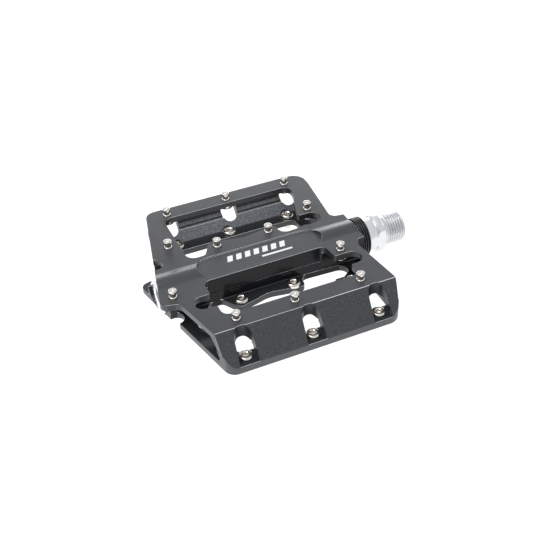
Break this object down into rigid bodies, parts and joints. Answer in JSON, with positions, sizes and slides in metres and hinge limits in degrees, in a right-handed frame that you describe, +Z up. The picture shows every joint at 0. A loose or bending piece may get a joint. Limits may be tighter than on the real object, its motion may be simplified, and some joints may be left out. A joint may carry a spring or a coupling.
{
  "type": "flat pedal",
  "caption": "Flat bicycle pedal: a hollow black platform with grip pins on both faces, turning on a threaded crank spindle.",
  "frame": {"origin": "centre of the face that seats on the crank arm, on the spindle axis", "axes": "+X along the spindle into the crank arm, +Z up, platform on the -X side with the long side of its upper plate towards +Y"},
  "size_m": [0.1224, 0.1062, 0.0222],
  "materials": {
    "anodised_body": "black anodised, fine blasted walls and satin milled faces",
    "pin_steel": "bright polished",
    "seal_rubber": "black, slightly glossy",
    "bush_bronze": "turned",
    "cap_metal": "bright turned",
    "o_ring_rubber": "matt",
    "spindle_steel": "pale satin plating",
    "washer_steel": "zinc plated",
    "locknut_steel": "zinc plated",
    "bearing_steel": "ground and polished",
    "shield_rubber": "matt",
    "cage_brass": "pressed"
  },
  "bodies": {
    "spindle_set": {"spindle": "spindle_steel", "keyed_washer": "washer_steel", "locknut": "locknut_steel", "inner_bearing_inner_race": "bearing_steel", "outer_bearing_inner_race": "bearing_steel"},
    "platform": {"platform_body": "anodised_body", "upper_rear_pins": "pin_steel", "upper_side_pins": "pin_steel", "upper_lobe_pins": "pin_steel", "upper_end_pins": "pin_steel", "upper_front_pins": "pin_steel", "lower_front_pins": "pin_steel", "lower_side_pins": "pin_steel", "lower_lobe_pins": "pin_steel", "lower_end_pins": "pin_steel", "lower_rear_pins": "pin_steel", "dust_seal": "seal_rubber", "inboard_bush": "bush_bronze", "end_cap": "cap_metal", "cap_o_ring": "o_ring_rubber", "inner_bearing_outer_race": "bearing_steel", "inner_bearing_shields": "shield_rubber", "outer_bearing_outer_race": "bearing_steel", "outer_bearing_shields": "shield_rubber"},
    "inner_ball_set": {"inner_bearing_balls": "bearing_steel", "inner_bearing_cage": "cage_brass"},
    "outer_ball_set": {"outer_bearing_balls": "bearing_steel", "outer_bearing_cage": "cage_brass"}
  },
  "joints": [
    {"name": "platform_spin", "type": "hinge", "parent": "spindle_set", "child": "platform", "pos_m": [-0.0575, 0, 0], "axis": [1, 0, 0], "continuous": true},
    {"name": "inner_ball_set_spin", "type": "hinge", "parent": "spindle_set", "child": "inner_ball_set", "pos_m": [-0.087, 0, 0], "axis": [1, 0, 0], "continuous": true},
    {"name": "outer_ball_set_spin", "type": "hinge", "parent": "spindle_set", "child": "outer_ball_set", "pos_m": [-0.092, 0, 0], "axis": [1, 0, 0], "continuous": true}
  ],
  "couplings": [
    {"joint": "inner_ball_set_spin", "follows": "platform_spin", "ratio": 0.5952},
    {"joint": "outer_ball_set_spin", "follows": "platform_spin", "ratio": 0.5952}
  ]
}
